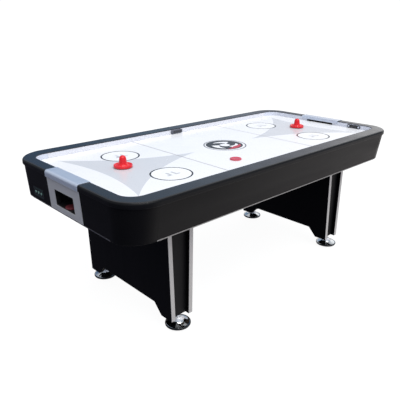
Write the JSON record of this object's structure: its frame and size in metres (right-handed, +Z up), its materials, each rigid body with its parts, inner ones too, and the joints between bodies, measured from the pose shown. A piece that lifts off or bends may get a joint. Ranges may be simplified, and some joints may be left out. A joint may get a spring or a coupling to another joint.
{
  "type": "air hockey table",
  "caption": "Full-size air hockey table with a white playfield, dark rails, silver goal caps, board legs on chrome levelers, pushers and pucks.",
  "frame": {"origin": "on the floor under the middle of the table", "axes": "+X along the table from the left goal to the right goal, +Y to the far side, +Z up"},
  "size_m": [2.134, 1.067, 0.8174],
  "materials": {
    "rail": "satin black laminate",
    "apron": "black laminate on board",
    "leg_board": "black laminate on board, silver banded edges",
    "playfield": "gloss white laminate with printed lines",
    "wall": "satin light grey",
    "silver": "silver paint",
    "trim": "satin",
    "chrome": "polished",
    "dark_plastic": "fine grain",
    "slate_plastic": "satin",
    "pale_plastic": "satin",
    "red_plastic": "gloss red",
    "puck_red": "satin red",
    "green_key": "lit from behind",
    "felt": "grey felt",
    "board": "raw fibreboard",
    "steel": "zinc plated"
  },
  "bodies": {
    "table": {"playfield_board": "playfield", "side_wall_near": "wall", "side_wall_far": "wall", "end_wall_left": "wall", "end_wall_right": "wall", "top_rail_near": "rail", "top_rail_far": "rail", "top_rail_left": "rail", "top_rail_right": "rail", "corner_cap_near_left": "rail", "corner_cap_near_right": "rail", "corner_cap_far_left": "rail", "corner_cap_far_right": "rail", "apron_near": "apron", "apron_far": "apron", "apron_left": "apron", "apron_right": "apron", "apron_trim_near": "trim", "apron_trim_far": "trim", "apron_trim_left": "trim", "apron_trim_right": "trim", "goal_cap_left": "silver", "goal_cap_right": "silver", "goal_box_left": "dark_plastic", "goal_box_right": "dark_plastic", "air_tray": "board", "blower_housing": "dark_plastic", "intake_grille": "dark_plastic", "blower_motor": "steel", "power_supply_box": "dark_plastic", "score_display": "slate_plastic", "score_unit": "dark_plastic", "control_plate": "dark_plastic", "left_leg_outer_board": "leg_board", "left_leg_inner_board": "leg_board", "left_leg_panel_near": "leg_board", "left_leg_panel_far": "leg_board", "left_leg_top_plate": "board", "right_leg_outer_board": "leg_board", "right_leg_inner_board": "leg_board", "right_leg_panel_near": "leg_board", "right_leg_panel_far": "leg_board", "right_leg_top_plate": "board"},
    "impeller": {"blower_impeller": "dark_plastic"},
    "left_near_foot": {"left_leveler_near": "chrome"},
    "left_far_foot": {"left_leveler_far": "chrome"},
    "right_near_foot": {"right_leveler_near": "chrome"},
    "right_far_foot": {"right_leveler_far": "chrome"},
    "near_score_key": {"score_button_near": "pale_plastic"},
    "far_score_key": {"score_button_far": "pale_plastic"},
    "power_key": {"power_button": "green_key"},
    "reset_key": {"reset_button": "green_key"},
    "sound_key": {"sound_button": "green_key"},
    "left_player_pusher": {"left_pusher": "red_plastic", "left_pusher_felt": "felt"},
    "right_player_pusher": {"right_pusher": "red_plastic", "right_pusher_felt": "felt"},
    "puck_in_play": {"puck": "puck_red"},
    "puck_in_goal": {"spare_puck": "puck_red"}
  },
  "joints": [
    {"name": "blower_spin", "type": "hinge", "parent": "table", "child": "impeller", "pos_m": [0, 0, 0.64], "axis": [0, 0, 1], "continuous": true},
    {"name": "left_near_leveler_screw", "type": "slide", "parent": "table", "child": "left_near_foot", "axis": [0, 0, 1], "range_m": [-0.015, 0.01]},
    {"name": "left_far_leveler_screw", "type": "slide", "parent": "table", "child": "left_far_foot", "axis": [0, 0, 1], "range_m": [-0.015, 0.01]},
    {"name": "right_near_leveler_screw", "type": "slide", "parent": "table", "child": "right_near_foot", "axis": [0, 0, 1], "range_m": [-0.015, 0.01]},
    {"name": "right_far_leveler_screw", "type": "slide", "parent": "table", "child": "right_far_foot", "axis": [0, 0, 1], "range_m": [-0.015, 0.01]},
    {"name": "near_score_key_press", "type": "slide", "parent": "table", "child": "near_score_key", "axis": [1, 0, 0], "range_m": [0, 0.0012], "stiffness_N_per_m": 500, "springref_m": -0.001},
    {"name": "far_score_key_press", "type": "slide", "parent": "table", "child": "far_score_key", "axis": [1, 0, 0], "range_m": [0, 0.0012], "stiffness_N_per_m": 500, "springref_m": -0.001},
    {"name": "power_key_press", "type": "slide", "parent": "table", "child": "power_key", "axis": [0.9986, 0, 0.0535], "range_m": [0, 0.0015], "stiffness_N_per_m": 500, "springref_m": -0.001},
    {"name": "reset_key_press", "type": "slide", "parent": "table", "child": "reset_key", "axis": [0.9986, 0, 0.0535], "range_m": [0, 0.0015], "stiffness_N_per_m": 500, "springref_m": -0.001},
    {"name": "sound_key_press", "type": "slide", "parent": "table", "child": "sound_key", "axis": [0.9986, 0, 0.0535], "range_m": [0, 0.0015], "stiffness_N_per_m": 500, "springref_m": -0.001},
    {"name": "left_pusher_slide", "type": "slide", "parent": "table", "child": "left_player_pusher", "axis": [1, 0, 0], "range_m": [-0.232, 0.65]},
    {"name": "right_pusher_slide", "type": "slide", "parent": "table", "child": "right_player_pusher", "axis": [1, 0, 0], "range_m": [-0.677, 0.2]},
    {"name": "puck_slide", "type": "slide", "parent": "table", "child": "puck_in_play", "axis": [1, 0, 0], "range_m": [-0.77, 1.135]},
    {"name": "spare_puck_take_out", "type": "slide", "parent": "table", "child": "puck_in_goal", "axis": [-1, 0, 0], "range_m": [0, 0.14]}
  ]
}
